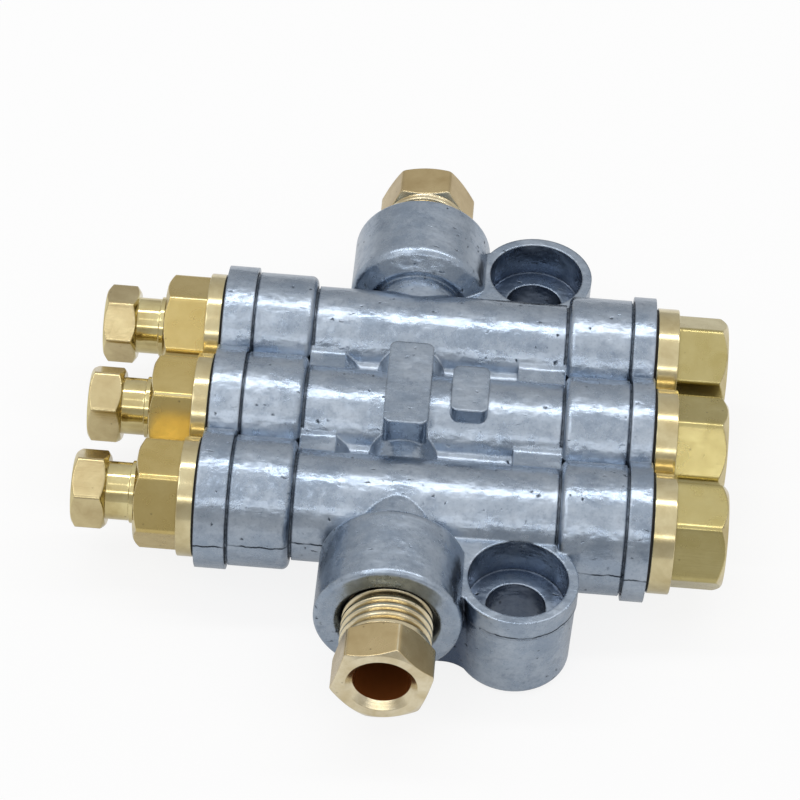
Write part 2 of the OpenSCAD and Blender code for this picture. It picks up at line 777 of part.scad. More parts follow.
module main_nut(side, out, turn) {
  tip = boss_face - port_nut_in;
  hex_start = boss_face + out;
  hex_end = hex_start + port_nut_hex_l;
  hole_r = port_tube_d / 2 + tube_gap;
  lead_r = hole_r + port_nut_lead;
  color("#b8a468") on_port(side) difference() {
    union() {
      bar(tip, hex_start + overlap, port_thread_d / 2);
      hex_bar(hex_start, hex_end, port_nut_af, turn);
    }
    bar(tip - past, hex_end + past, hole_r);
    cone(tip - overlap, tip + port_nut_cone_r - hole_r, port_nut_cone_r, hole_r);
    cone(hex_end - (lead_r - hole_r), hex_end + overlap, hole_r, lead_r);
  }
}

module main_ferrule(side) {
  color("#c2ad6c") on_port(side) mirror([0, 0, 1])
    ferrule(-(boss_face - port_nut_in), port_nut_cone_r, -(boss_face - port_depth), port_cone_r,
      port_tube_d);
}

body_casting();
outlet_body(rear);  // outlet_body_rear
outlet_body(middle);  // outlet_body_middle
outlet_body(front);  // outlet_body_front
outlet_washer(rear);  // outlet_washer_rear
outlet_washer(middle);  // outlet_washer_middle
outlet_washer(front);  // outlet_washer_front
outlet_nut(rear);  // outlet_nut_rear
outlet_nut(middle);  // outlet_nut_middle
outlet_nut(front);  // outlet_nut_front
outlet_ferrule(rear);  // outlet_ferrule_rear
outlet_ferrule(middle);  // outlet_ferrule_middle
outlet_ferrule(front);  // outlet_ferrule_front
check_seat(rear);  // check_seat_rear
check_seat(middle);  // check_seat_middle
check_seat(front);  // check_seat_front
check_disc(rear);  // check_disc_rear
check_disc(middle);  // check_disc_middle
check_disc(front);  // check_disc_front
check_spring(rear);  // check_spring_rear
check_spring(middle);  // check_spring_middle
check_spring(front);  // check_spring_front
control_tube(rear);  // control_tube_rear
control_tube(middle);  // control_tube_middle
control_tube(front);  // control_tube_front
transfer_seal(rear);  // transfer_seal_rear
transfer_seal(middle);  // transfer_seal_middle
transfer_seal(front);  // transfer_seal_front
metering_piston(rear);  // metering_piston_rear
metering_piston(middle);  // metering_piston_middle
metering_piston(front);  // metering_piston_front
piston_ring(rear);  // piston_ring_rear
piston_ring(middle);  // piston_ring_middle
piston_ring(front);  // piston_ring_front
piston_spring(rear);  // piston_spring_rear
piston_spring(middle);  // piston_spring_middle
piston_spring(front);  // piston_spring_front
metering_cap(rear);  // metering_cap_rear
metering_cap(middle);  // metering_cap_middle
metering_cap(front);  // metering_cap_front
pilot_ring(rear);  // pilot_ring_rear
pilot_ring(middle);  // pilot_ring_middle
pilot_ring(front);  // pilot_ring_front
cap_washer(rear);  // cap_washer_rear
cap_washer(middle);  // cap_washer_middle
cap_washer(front);  // cap_washer_front
main_nut(1, rear_nut_out, rear_nut_turn);  // main_nut_rear
main_nut(-1, front_nut_out, front_nut_turn);  // main_nut_front
main_ferrule(1);  // main_ferrule_rear
main_ferrule(-1);  // main_ferrule_front
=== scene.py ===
import functools
import math

import bmesh
import bpy
import numpy as np
from mathutils import Matrix, Vector


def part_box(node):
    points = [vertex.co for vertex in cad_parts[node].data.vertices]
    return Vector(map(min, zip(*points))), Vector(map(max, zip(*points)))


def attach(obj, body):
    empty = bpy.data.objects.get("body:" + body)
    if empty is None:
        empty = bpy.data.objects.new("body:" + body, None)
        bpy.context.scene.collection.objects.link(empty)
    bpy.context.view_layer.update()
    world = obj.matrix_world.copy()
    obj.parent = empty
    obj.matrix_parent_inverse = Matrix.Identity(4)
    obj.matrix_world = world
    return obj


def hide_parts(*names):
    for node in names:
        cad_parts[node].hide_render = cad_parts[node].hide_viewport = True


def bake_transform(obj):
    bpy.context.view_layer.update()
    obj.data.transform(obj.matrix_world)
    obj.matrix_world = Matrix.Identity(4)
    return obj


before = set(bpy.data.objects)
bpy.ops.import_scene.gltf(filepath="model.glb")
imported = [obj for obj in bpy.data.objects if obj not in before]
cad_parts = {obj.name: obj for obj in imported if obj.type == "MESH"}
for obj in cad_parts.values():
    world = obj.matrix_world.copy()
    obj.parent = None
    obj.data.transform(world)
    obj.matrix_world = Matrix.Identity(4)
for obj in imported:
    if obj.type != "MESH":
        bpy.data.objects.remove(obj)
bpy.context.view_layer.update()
print("frame loaded:", len(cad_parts), "nodes")

mm = 0.001

# where the three barrels and the main line lie, in millimetres, read off the frame's own pieces
def boxOf(node):
    low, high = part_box(node)
    return np.array(low) / mm, np.array(high) / mm


def middleOf(node):
    low, high = boxOf(node)
    return (low + high) / 2


barrelNames = ["rear", "middle", "front"]
barrelAxis = {name: middleOf("cap_washer_" + name) for name in barrelNames}
mainAxis = middleOf("main_ferrule_front")
mainAxis[1] = 0
partingHeight = barrelAxis["middle"][2]


# colours and nodes

def hexToLinear(code):
    values = np.array([int(code[i:i + 2], 16) for i in (1, 3, 5)]) / 255
    linear = np.where(values <= 0.04045, values / 12.92, ((values + 0.055) / 1.055) ** 2.4)
    return (*linear.tolist(), 1.0)


def addNode(tree, kind, inputs=(), output=0, stops=(), **settings):
    # inputs: by name or number in a dictionary, or in order from the first; output: the number or
    # name of the one to hand back, or None for all of them
    node = tree.nodes.new("ShaderNode" + kind)
    for name, value in settings.items():
        setattr(node, name, value)
    for name, value in inputs.items() if isinstance(inputs, dict) else enumerate(inputs):
        if isinstance(value, bpy.types.NodeSocket):
            tree.links.new(value, node.inputs[name])
        else:
            node.inputs[name].default_value = value
    if stops:
        band = node.color_ramp.elements
        while len(band) < len(stops):
            band.new(0.5)
        for point, (position, colour) in zip(band, stops):
            point.position, point.color = position, colour
    return node.outputs if output is None else node.outputs[output]


def perMm(size):
    # texture scale whose features are about this many millimetres across
    return 1 / (size * mm)


def newMaterial(name, metallic, roughness):
    material = bpy.data.materials.new(name)
    material.use_nodes = True
    tree = material.node_tree
    shader = tree.nodes["Principled BSDF"]
    shader.inputs["Metallic"].default_value = metallic
    shader.inputs["Roughness"].default_value = roughness
    return material, tree, shader


# Die-cast zinc: the chilled skin of a pressure casting. It is blue-grey and satin, its highlights
# wobble, gas pits and folds in the skin show as dark specks and short dark lines, and the die's
# parting line runs along both flanks. Grime and painted shade darken the steps, and painted shade
# darkens the hollows, the lug counterbores and the nook between boss and lug. A pair is where a
# texture or a place begins to count and where it counts in full.
zinc = {
    # the grime tone also paints shade into the steps and creases, and the shade tone is painted shade
    "light": "#A7B1BD", "dark": "#8B98A8", "stain": "#657285", "grimeAndShade": "#18222F", "shade": "#152C4C",
    "roughness": 0.27, "roughFrom": -0.05, "roughTo": 0.07, "dirtRoughness": 0.3,
    "patchMm": 4.5, "darkTo": 0.36, "lightFrom": 0.64, "edgeMm": 0.35,
    "swellMm": 2.4, "swellDepthMm": 0.16, "rippleMm": 0.85, "rippleDepthMm": 0.045,
    "rippleStretch": 0.45, "grainMm": 0.30, "grainDepthMm": 0.008,
    "stainMm": 2.2, "stained": (0.54, 0.70), "stainStrength": 0.5,
    "grainStained": (0.52, 0.74), "grainStrength": 0.35,
    "shakeMm": 0.8, "shakeSizeMm": 0.6, "markDepthMm": 0.05, "markStrength": 0.9,
    # grime and painted shade in the steps: occlusion within this reach, broken into patches
    "grimeReachMm": 0.8, "grimy": (0.58, 0.28), "grimePatches": (0.35, 0.6), "thinnestGrime": 0.35,
    "shadeReachMm": 6.0, "shaded": (0.42, 0.12), "shadeStrength": 0.38,
}
# a noise's values lie between these, but for a few
noiseSpan = (0.3, 0.7)
# a mark and the parting line are whole within this share of their reach, and fade from there
wholeShare = 0.3
# marks of the skin: one in some of the cells of a grid, thick in some areas, drawn out along X
zincMarks = {
    "pits": {"channel": "Red", "cellMm": 1.15, "stretch": 1.0, "reach": 0.22, "chosen": (0.58, 0.64),
             "strength": 1.0, "areaMm": 5.0, "area": (0.46, 0.56)},
    "folds": {"channel": "Green", "cellMm": 0.9, "stretch": 0.28, "reach": 0.17,
              "chosen": (0.55, 0.60), "strength": 0.85, "areaMm": 4.0, "area": (0.47, 0.56)},
}
# the groove lies this far over the barrel axes, and only outside the barrels and clear of the bosses
partingLine = {
    "liftMm": 0.35, "wanderMm": 0.25, "wanderSizeMm": 3.5, "widthMm": 0.14, "steep": (0.45, 0.30),
    "outsideMm": (18.9, 19.1), "bossMm": (21.6, 21.4), "besideBossMm": (-4.0, -2.0),
    "breakMm": 3.0, "broken": (0.40, 0.52), "faintest": 0.25,
}
# the lugs lie on the line x = 0, this far to each side. Their counterbores carry a painted shade
# that deepens with depth and is lifted on the floor towards the hole.
lug = {
    "placeMm": 24.45, "topMm": 11.9, "floorMm": 7.4, "wallMm": 5.5, "holeMm": 3.3,
    "edgeMm": (0.05, 0.15), "rimMm": (-0.05, -0.5), "liftInsetMm": 0.2,
    "shadeAtTop": 0.18, "shadeAtFloor": 0.56, "level": (0.3, 0.9), "liftedShade": 0.10,
}
# painted shade in the nook between a boss and its lug, as its upright line's place, reach, top
# and outer end
nook = {"placeMm": (-6.8, 28.0), "reachMm": (1.0, 4.2), "strength": 0.75, "topMm": (11.0, 8.0),
        "endMm": (30.0, 29.4)}


def inMetres(pair, offset=0.0):
    return [(value + offset) * mm for value in pair]


def makeZinc():
    material, tree, shader = newMaterial("die_cast_zinc_skin", 1.0, zinc["roughness"])
    add = functools.partial(addNode, tree)
    place = add("TexCoord", output="Object")
    split = add("SeparateXYZ", {"Vector": place}, None)
    outward = add("Math", (split["Y"],), operation="ABSOLUTE")
    facing = add("SeparateXYZ", {"Vector": add("NewGeometry", output="Normal")}, "Z")

    # clouds: broad tones, slow unevenness, ripples that lie along the barrels, and fine grain
    patches = add("TexNoise", {
        "Vector": place, "Scale": perMm(zinc["patchMm"]), "Detail": 6.0, "Roughness": 0.65})
    swell = add("TexNoise", {
        "Vector": place, "Scale": perMm(zinc["swellMm"]), "Detail": 2.0, "Roughness": 0.5})
    lying = add("Mapping", {"Vector": place, "Scale": (zinc["rippleStretch"], 1.0, 1.0)})
    ripple = add("TexNoise", {
        "Vector": lying, "Scale": perMm(zinc["rippleMm"]), "Detail": 2.0, "Roughness": 0.5})
    grain = add("TexNoise", {
        "Vector": place, "Scale": perMm(zinc["grainMm"]), "Detail": 3.0, "Roughness": 0.6})

    # the marks are set out on a shaken place, so that no edge of theirs is smooth
    ragged = add("TexNoise", {
        "Vector": place, "Scale": perMm(zinc["shakeSizeMm"]), "Detail": 2.0}, "Color")
    shift = add("VectorMath", {0: ragged, "Scale": zinc["shakeMm"] * mm}, operation="SCALE")
    where = add("VectorMath", (place, shift), operation="ADD")
    marks = 0.0
    for kind in zincMarks.values():
        drawn = add("Mapping", {"Vector": where, "Scale": (kind["stretch"], 1.0, 1.0)})
        cells = add("TexVoronoi", {"Vector": drawn, "Scale": perMm(kind["cellMm"])}, None)
        chance = add("SeparateColor", {"Color": cells["Color"]}, kind["channel"])
        area = add("TexNoise", {
            "Vector": place, "Scale": perMm(kind["areaMm"]), "Detail": 3.0, "Roughness": 0.6})
        mark = add("MapRange", (cells["Distance"], kind["reach"], wholeShare * kind["reach"]))
        for share in (add("MapRange", (chance, *kind["chosen"], 0.0, kind["strength"])),
                      add("MapRange", (area, *kind["area"]))):
            mark = add("Math", (mark, share), operation="MULTIPLY")
        marks = add("Math", (marks, mark), operation="MAXIMUM")

    # distances in plan from a lug's axis and from a nook's upright line
    plan = add("CombineXYZ", {"X": split["X"], "Y": outward})
    fromLug = add("VectorMath", (plan, (0.0, lug["placeMm"] * mm, 0.0)), "Value", operation="DISTANCE")
    fromNook = add("VectorMath", (plan, (*inMetres(nook["placeMm"]), 0.0)), "Value",
                   operation="DISTANCE")

    # parting line: a thin wandering groove just over the barrel axes, round every outer flank
    alongLine = add("CombineXYZ", {"X": split["X"]})
    wander = add("TexNoise", {
        "Vector": alongLine, "Scale": perMm(partingLine["wanderSizeMm"]), "Detail": 4.0,
        "Roughness": 0.6})
    wander = add("MapRange", (wander, *noiseSpan, *inMetres(
        (-partingLine["wanderMm"], partingLine["wanderMm"]), partingHeight + partingLine["liftMm"])))
    offLine = add("Math", (split["Z"], wander), operation="SUBTRACT")
    offLine = add("Math", (offLine,), operation="ABSOLUTE")
    steep = add("Math", (facing,), operation="ABSOLUTE")
    bossFace = add("Math", (add("MapRange", (outward, *inMetres(partingLine["bossMm"]))),
                            add("MapRange", (split["X"], *inMetres(partingLine["besideBossMm"])))),
                   operation="MAXIMUM")
    breaks = add("TexNoise", {
        "Vector": alongLine, "Scale": perMm(partingLine["breakMm"]), "Detail": 2.0, "Roughness": 0.5})
    width = partingLine["widthMm"]
    line = add("MapRange", (offLine, *inMetres((width, wholeShare * width))))
    for share in (add("MapRange", (steep, *partingLine["steep"])),
                  add("MapRange", (outward, *inMetres(partingLine["outsideMm"]))), bossFace,
                  add("MapRange", (fromLug, *inMetres(lug["edgeMm"], lug["wallMm"]))),
                  add("MapRange", (breaks, *partingLine["broken"], partingLine["faintest"], 1.0))):
        line = add("Math", (line, share), operation="MULTIPLY")

    # painted shade inside a lug: darker with depth, and lifted on its floor towards the hole
    floorShadeLifted = add("Math", (add("MapRange", (facing, *lug["level"])),
                          add("MapRange", (fromLug, (lug["wallMm"] - lug["liftInsetMm"]) * mm,
                                           (lug["holeMm"] + lug["liftInsetMm"]) * mm))),
                 operation="MULTIPLY")
    lugShade = add("MapRange", (split["Z"], *inMetres((lug["topMm"], lug["floorMm"])),
                             lug["shadeAtTop"], lug["shadeAtFloor"]))
    for share in (add("MapRange", (fromLug, *inMetres(lug["edgeMm"][::-1], lug["wallMm"]))),
                  add("MapRange", (split["Z"], *inMetres(lug["rimMm"], lug["topMm"]))),
                  add("MapRange", (floorShadeLifted, 0.0, 1.0, 1.0, lug["liftedShade"]))):
        lugShade = add("Math", (lugShade, share), operation="MULTIPLY")

    # painted shade in the nook, darkest at the upright line where boss and lug come closest
    nookShade = add("MapRange", (fromNook, *inMetres(nook["reachMm"]), nook["strength"], 0.0))
    for share in (add("MapRange", (split["Z"], *inMetres(nook["topMm"]))),
                  add("MapRange", (outward, *inMetres(nook["endMm"])))):
        nookShade = add("Math", (nookShade, share), operation="MULTIPLY")

    # grime and painted shade in the steps, and a general painted shade inside the hollows
    shut, deep = (add("AmbientOcclusion", {"Distance": reach * mm}, "AO", samples=8)
                  for reach in (zinc["grimeReachMm"], zinc["shadeReachMm"]))
    grimeAndShade = add("Math", (add("MapRange", (shut, *zinc["grimy"])),
                         add("MapRange", (ragged, *zinc["grimePatches"], zinc["thinnestGrime"],
                                          1.0))), operation="MULTIPLY")
    shade = add("MapRange", (deep, *zinc["shaded"], 0.0, zinc["shadeStrength"]))
    for share in (lugShade, nookShade):
        shade = add("Math", (shade, share), operation="MAXIMUM")

    skin = add("ValToRGB", {"Fac": patches}, stops=[
        (zinc["darkTo"], hexToLinear(zinc["dark"])), (zinc["lightFrom"], hexToLinear(zinc["light"]))])
    stain = add("TexNoise", {
        "Vector": where, "Scale": perMm(zinc["stainMm"]), "Detail": 5.0, "Roughness": 0.7})
    stain = add("Math", (
        add("MapRange", (stain, *zinc["stained"], 0.0, zinc["stainStrength"])),
        add("MapRange", (grain, *zinc["grainStained"], 0.0, zinc["grainStrength"]))),
        operation="MAXIMUM")
    # dark marks, the parting line, and grime with painted shade in the steps
    dirtAndShade = add("Math", (marks, zinc["markStrength"]), operation="MULTIPLY")
    for share in (line, grimeAndShade):
        dirtAndShade = add("Math", (dirtAndShade, share), operation="MAXIMUM")
    for share, tone in ((stain, "stain"), (shade, "shade"), (dirtAndShade, "grimeAndShade")):
        skin = add("Mix", {0: share, 6: skin, 7: hexToLinear(zinc[tone])}, 2, data_type="RGBA")
    tree.links.new(skin, shader.inputs["Base Color"])
    rough = add("MapRange", (patches, *noiseSpan, zinc["roughness"] + zinc["roughFrom"],
                             zinc["roughness"] + zinc["roughTo"]))
    rough = add("Math", (dirtAndShade, zinc["dirtRoughness"], rough), operation="MULTIPLY_ADD")
    tree.links.new(rough, shader.inputs["Roughness"])

    hollows = add("Math", (marks, line), operation="MAXIMUM")
    hollows = add("Math", (hollows, -1.0), operation="MULTIPLY")
    normal = add("Bevel", {"Radius": zinc["edgeMm"] * mm}, samples=6)
    for height, depthMm in ((swell, zinc["swellDepthMm"]), (ripple, zinc["rippleDepthMm"]),
                            (grain, zinc["grainDepthMm"]), (hollows, zinc["markDepthMm"])):
        normal = add("Bump", {"Height": height, "Distance": depthMm * mm, "Normal": normal})
    tree.links.new(normal, shader.inputs["Normal"])
    return material


# Free-cutting brass: turned on its round parts, drawn bar on the flats of its hexagons. Turning
# leaves fine rings that stretch each highlight, drawing leaves fine lines along the bar, and
# handling dulls it in patches. The piece's own UV map holds turns round the axis and millimetres
# along the section. Tool marks are drawn 0.25 mm apart, about twice the real feed, so they show.
# the grime tone also paints shade into the creases and darkens the thread roots
brass = {
    # the bore's tone and metallic paint a dark brown shade into the tube's bore
    "grimeAndShade": "#33200B", "boreShade": "#7A4520", "edgeMm": 0.07, "ringsPerMm": 4.0, "breaksPerTurn": 3.0,
    "linesPerTurn": 160.0, "breaksPerMm": 0.25, "toolingDepthMm": 0.004, "tarnishMm": 3.0,
    "tarnished": (0.30, 0.75), "handlingDepthMm": 0.006, "nickMm": 1.6, "nicked": (0.09, 0.03),
    "nickStrength": 0.5, "grimeReachMm": 1.0, "grimy": (0.56, 0.20), "threadRoot": (0.45, 0.95),
    "grimeStrength": 0.9, "smoother": -0.02, "duller": 0.05, "flatRoughness": 0.10,
    "boreShadeMetallic": 0.2,
}


def makeBrass(name, turned, drawn, roughness):
    # turned and drawn: the clean and the dulled tone of the round parts and of the flats
    material, tree, shader = newMaterial(name, 1.0, roughness)
    add = functools.partial(addNode, tree)
    place = add("TexCoord", output="Object")
    section = add("UVMap", output="UV", uv_map="section")
    flats, valley, boreShade = (add("Attribute", output="Fac", attribute_name=mark)
                            for mark in ("drawnBar", "threadValley", "boreShadeMark"))
    rings, lines = (
        add("TexNoise", {"Vector": add("Mapping", {"Vector": section, "Scale": scale}),
                         "Scale": 1.0, "Detail": 3.0})
        for scale in ((brass["breaksPerTurn"], brass["ringsPerMm"], 1.0),
                      (brass["linesPerTurn"], brass["breaksPerMm"], 1.0)))
    tooling = add("Mix", {0: flats, 2: rings, 3: lines})
    handling = add("TexNoise", {
        "Vector": place, "Scale": perMm(brass["tarnishMm"]), "Detail": 5.0, "Roughness": 0.6,
        "Distortion": 0.3})
    tarnish = add("MapRange", (handling, *brass["tarnished"]))
    tones = [add("Mix", {0: tarnish, 6: hexToLinear(clean), 7: hexToLinear(dulled)}, 2,
                 data_type="RGBA") for clean, dulled in (turned, drawn)]

    # nicks hold grime, creases are darkened with painted shade, thread roots are darker, and the
    # tube's bore is painted a dark brown shade and made mostly not metallic
    nicks = add("TexVoronoi", {"Vector": place, "Scale": perMm(brass["nickMm"])}, "Distance")
    shut = add("AmbientOcclusion", {"Distance": brass["grimeReachMm"] * mm}, "AO", samples=8)
    grimeAndShade = add("MapRange", (shut, *brass["grimy"], 0.0, brass["grimeStrength"]))
    for share in (add("MapRange", (nicks, *brass["nicked"], 0.0, brass["nickStrength"])),
                  add("MapRange", (valley, *brass["threadRoot"], 0.0, brass["grimeStrength"]))):
        grimeAndShade = add("Math", (grimeAndShade, share), operation="MAXIMUM")
    colour = tones[0]
    for share, over in ((flats, tones[1]), (grimeAndShade, hexToLinear(brass["grimeAndShade"])),
                        (boreShade, hexToLinear(brass["boreShade"]))):
        colour = add("Mix", {0: share, 6: colour, 7: over}, 2, data_type="RGBA")
    tree.links.new(colour, shader.inputs["Base Color"])
    bare = add("MapRange", (boreShade, 0.0, 1.0, 1.0, brass["boreShadeMetallic"]))
    tree.links.new(bare, shader.inputs["Metallic"])
    rough = add("MapRange", (handling, *brass["tarnished"], roughness + brass["smoother"],
                             roughness + brass["duller"]))
    rough = add("Math", (flats, brass["flatRoughness"], rough), operation="MULTIPLY_ADD")
    tree.links.new(rough, shader.inputs["Roughness"])
    normal = add("Bevel", {"Radius": brass["edgeMm"] * mm}, samples=4)
    for height, depthMm in ((tooling, brass["toolingDepthMm"]), (handling, brass["handlingDepthMm"])):
        normal = add("Bump", {"Height": height, "Distance": depthMm * mm, "Normal": normal})
    tree.links.new(normal, shader.inputs["Normal"])
    return material


# where the grain's hollows end and its crests begin, and how dark the hollows are
plain = {"hollow": 0.35, "crest": 0.65, "hollowShade": 0.67}


def makePlain(name, colour, metallic, roughness, grainMm, depthMm):
    # one colour, darker in the hollows of its grain, which is drawn coarse enough to show
    material, tree, shader = newMaterial(name, metallic, roughness)
    place = addNode(tree, "TexCoord", output="Object")
    grain = addNode(tree, "TexNoise", {
        "Vector": place, "Scale": perMm(grainMm), "Detail": 4.0, "Roughness": 0.6})
    tone = hexToLinear(colour)
    darker = (*(value * plain["hollowShade"] for value in tone[:3]), 1.0)
    shade = addNode(tree, "ValToRGB", {"Fac": grain}, stops=[
        (plain["hollow"], darker), (plain["crest"], tone)])
    tree.links.new(shade, shader.inputs["Base Color"])
    bump = addNode(tree, "Bump", {"Height": grain, "Distance": depthMm * mm})
    tree.links.new(bump, shader.inputs["Normal"])
    return material


zincSkin = makeZinc()
# the pieces come from four batches of bar, so their tones differ a little
turnedBrass = makeBrass("turned_brass", ("#D6CAA2", "#B9A97E"), ("#C9B57A", "#B6A063"), 0.15)
capBrass = makeBrass("cap_brass", ("#D6CAA2", "#B9A97E"), ("#B9AD7A", "#A79963"), 0.15)
fittingBrass = makeBrass("tube_fitting_brass", ("#D8CB98", "#B5A26E"), ("#CCBD92", "#B09E74"), 0.11)
mainNutBrass = makeBrass("main_nut_brass", ("#E2D8BC", "#C0AF88"), ("#C1AE84", "#A69168"), 0.18)
# moulded nitrile rubber: black and matt with a fine bloom
nitrileRubber = makePlain("nitrile_rubber", "#1B1C1E", 0.0, 0.62, 0.4, 0.01)
# pressed fibre gasket: dark brown where it has taken up oil, and matt
fibreWasher = makePlain("oiled_fibre_washer", "#2E2A26", 0.0, 0.75, 0.25, 0.02)
# drawn spring wire: grey and half bright, with fine die lines
springSteel = makePlain("drawn_spring_steel", "#A9ADB1", 1.0, 0.32, 0.3, 0.004)
# ground steel: bright, with a fine grain
groundSteel = makePlain("ground_steel", "#BFC3C7", 1.0, 0.2, 0.25, 0.003)
print("materials made")


# turned and hexagonal pieces

# How finely the pieces are made: points round the axis, millimetres between points of a section,
# the radius that wears its corners and the most of a side that this takes, and how sharply a
# hexagon's flats meet each other and its turned parts. What lies nearer to the axis than a share of
# the width across flats is no part of the hexagon. What is close to a crest or a bore is on it.
lathe = {
    "segments": 240, "stepMm": 0.14, "wornMm": 0.12, "cornerSteps": 4, "longestCut": 0.45,
    "hexagonPower": 46, "hexagonBlendMm": 0.07, "hexagonFrom": 0.40, "closeMm": 0.02,
    "sharpDegrees": 38,
}


def roundCorners(points, radius):
    # each corner becomes a curve that leaves one side and joins the other along them: the mean of
    # start, corner and end, weighted by (1 - t) squared, 2 t (1 - t) and t squared
    points = np.array(points, float)
    result = [points[0]]
    for before, corner, after in zip(points[:-2], points[1:-1], points[2:]):
        toBefore, toAfter = before - corner, after - corner
        lengths = np.linalg.norm(toBefore), np.linalg.norm(toAfter)
        toBefore, toAfter = toBefore / lengths[0], toAfter / lengths[1]
        half = math.acos(np.clip(toBefore @ toAfter, -1, 1)) / 2
        cut = min(radius / max(math.tan(half), 1e-6), lathe["longestCut"] * min(lengths))
        share = np.linspace(0, 1, lathe["cornerSteps"] + 1)[:, None]
        start, end = corner + toBefore * cut, corner + toAfter * cut
        result.extend((1 - share) ** 2 * start + 2 * share * (1 - share) * corner + share ** 2 * end)
    result.append(points[-1])
    return np.array(result)


def fillSection(points, step):
    # points no further apart than the step, keeping every corner
    pieces = []
    for start, end in zip(points[:-1], points[1:]):
        count = max(1, int(math.ceil(np.linalg.norm(end - start) / step)))
        pieces.append(start + (end - start) * np.linspace(0, 1, count, endpoint=False)[:, None])
    return np.vstack(pieces + [points[-1:]])


def hexagonRadius(angle, acrossFlats, corner):
    # distance to a hexagon's outline at an angle: one over the reach towards its flats, where a
    # high power mean of all six stands in for the greatest, which rounds the corners
    normals = corner + np.pi / 6 + np.arange(6) * np.pi / 3
    reach = np.clip(np.cos(angle[:, None] - normals[None, :]), 0, None) / (acrossFlats / 2)
    power = lathe["hexagonPower"]
    return (reach ** power).sum(1) ** (-1 / power)


def softMinimum(first, second, width):
    # the lesser of two radii, with a fillet of about this width where they cross: their mean,
    # weighted by how far apart they are, less a hump that is highest where they are equal
    share = np.clip(0.5 + 0.5 * (second - first) / width, 0, 1)
    return second * (1 - share) + first * share - width * share * (1 - share)


def threadDrop(along, angle, pitch, start, end, depth):
    # depth of a V thread: a triangle wave along the axis that moves on by a pitch each turn, eased
    # at root and crest, and fading to nothing at both ends
    phase = (along / pitch - angle / (2 * np.pi)) % 1
    wave = np.clip(np.abs(2 * phase - 1) * 1.35 - 0.35, 0, 1)
    wave = wave * wave * (3 - 2 * wave)
    runOut = 0.4 * pitch
    inside = np.clip((along - start) / runOut, 0, 1) * np.clip((end - along) / runOut, 0, 1)
    return depth * wave * inside


def lathePiece(name, section, origin, along, across, upward, hexagon, thread, bore=0.0,
               step=lathe["stepMm"], worn=lathe["wornMm"]):
    # A section turned round an axis. Each point lies at the section's distance along the axis, and
    # off it by the section's radius, or the hexagon's outline where that is less, minus the drop of
    # the thread. The section is (distance, radius) pairs from one end to the other, on the axis
    # where solid. What lies within the bore's radius is marked for the bore's painted shade.
    segments = lathe["segments"]
    closed = section[0] == section[-1]
    line = fillSection(roundCorners(section, worn), step)
    if closed:
        line = line[:-1]
    distance = np.linalg.norm(np.diff(line, axis=0, prepend=line[:1]), axis=1).cumsum()
    angle = np.arange(segments) * 2 * np.pi / segments
    axial = line[:, :1] + 0 * angle[None, :]
    radius = line[:, 1:] + 0 * angle[None, :]
    # the hexagon's flats cut into the turned bar, and the thread's valleys into its crests
    outline = hexagonRadius(angle, hexagon["acrossFlats"], hexagon["corner"])[None, :]
    inside = ((axial > hexagon["from"] - 1e-6) & (axial < hexagon["to"] + 1e-6)
              & (radius > hexagon["acrossFlats"] * lathe["hexagonFrom"]))
    drawn = np.where(inside & (radius > outline), 1.0, 0.0)
    radius = np.where(inside, softMinimum(radius, outline, lathe["hexagonBlendMm"]), radius)
    drop = threadDrop(axial, angle[None, :], thread["pitch"], thread["from"], thread["to"],
                      thread["depth"])
    crest = np.abs(radius - thread["radius"]) < lathe["closeMm"]
    radius = np.where(crest, radius - drop, radius)
    hollow = np.where(crest, drop / thread["depth"], 0.0)
    along, across, upward = (np.array(v, float) for v in (along, across, upward))
    points = (np.array(origin, float)
              + axial[..., None] * along
              + (radius * np.cos(angle))[..., None] * across
              + (radius * np.sin(angle))[..., None] * upward) * mm
    rings = len(line)
    first = np.arange(rings if closed else rings - 1)
    ringA, segment = np.meshgrid(first, np.arange(segments), indexing="ij")
    ringB, nextSegment = (ringA + 1) % rings, (segment + 1) % segments
    quads = np.stack([ringA * segments + segment, ringA * segments + nextSegment,
                      ringB * segments + nextSegment, ringB * segments + segment], -1).reshape(-1, 4)
    turnA, turnB = segment / segments, (segment + 1) / segments
    heightA = distance[ringA]
    heightB = np.where(ringA + 1 < rings, distance[ringB], distance[-1] + step)
    uv = np.stack([np.stack([turnA, heightA], -1), np.stack([turnB, heightA], -1),
                   np.stack([turnB, heightB], -1), np.stack([turnA, heightB], -1)], -2)
    mesh = bpy.data.meshes.new(name)
    mesh.from_pydata(points.reshape(-1, 3).tolist(), [], quads.tolist())
    mesh.uv_layers.new(name="section").data.foreach_set("uv", uv.reshape(-1).astype(np.float32))
    # points in the bore are marked for its painted dark brown shade
    boreShade = np.where(radius < bore + lathe["closeMm"], 1.0, 0.0)
    for mark, values in (("drawnBar", drawn), ("threadValley", hollow), ("boreShadeMark", boreShade)):
        mesh.attributes.new(mark, "FLOAT", "POINT").data.foreach_set(
            "value", values.reshape(-1).astype(np.float32))
    return addPiece(mesh)


def addPiece(mesh):
    # points that fall together, as at a pole, become one, and faces point outwards
    work = bmesh.new()
    work.from_mesh(mesh)
    bmesh.ops.remove_doubles(work, verts=work.verts, dist=1e-8)
    bmesh.ops.recalc_face_normals(work, faces=work.faces)
    work.to_mesh(mesh)
    work.free()
    mesh.shade_smooth()
    mesh.set_sharp_from_angle(angle=math.radians(lathe["sharpDegrees"]))
    piece = bpy.data.objects.new(mesh.name, mesh)
    bpy.context.scene.collection.objects.link(piece)
    return piece


def dress(piece, node, material):
    piece.data.materials.append(material)
    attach(piece, "injector")
    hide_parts(node)


alongX, alongY, upZ = (1, 0, 0), (0, 1, 0), (0, 0, 1)

# a hexagon's turned corners reach this share of its true ones, and its end face, "face" below, is a
# share of the way to its flats
wornCorner = 0.985
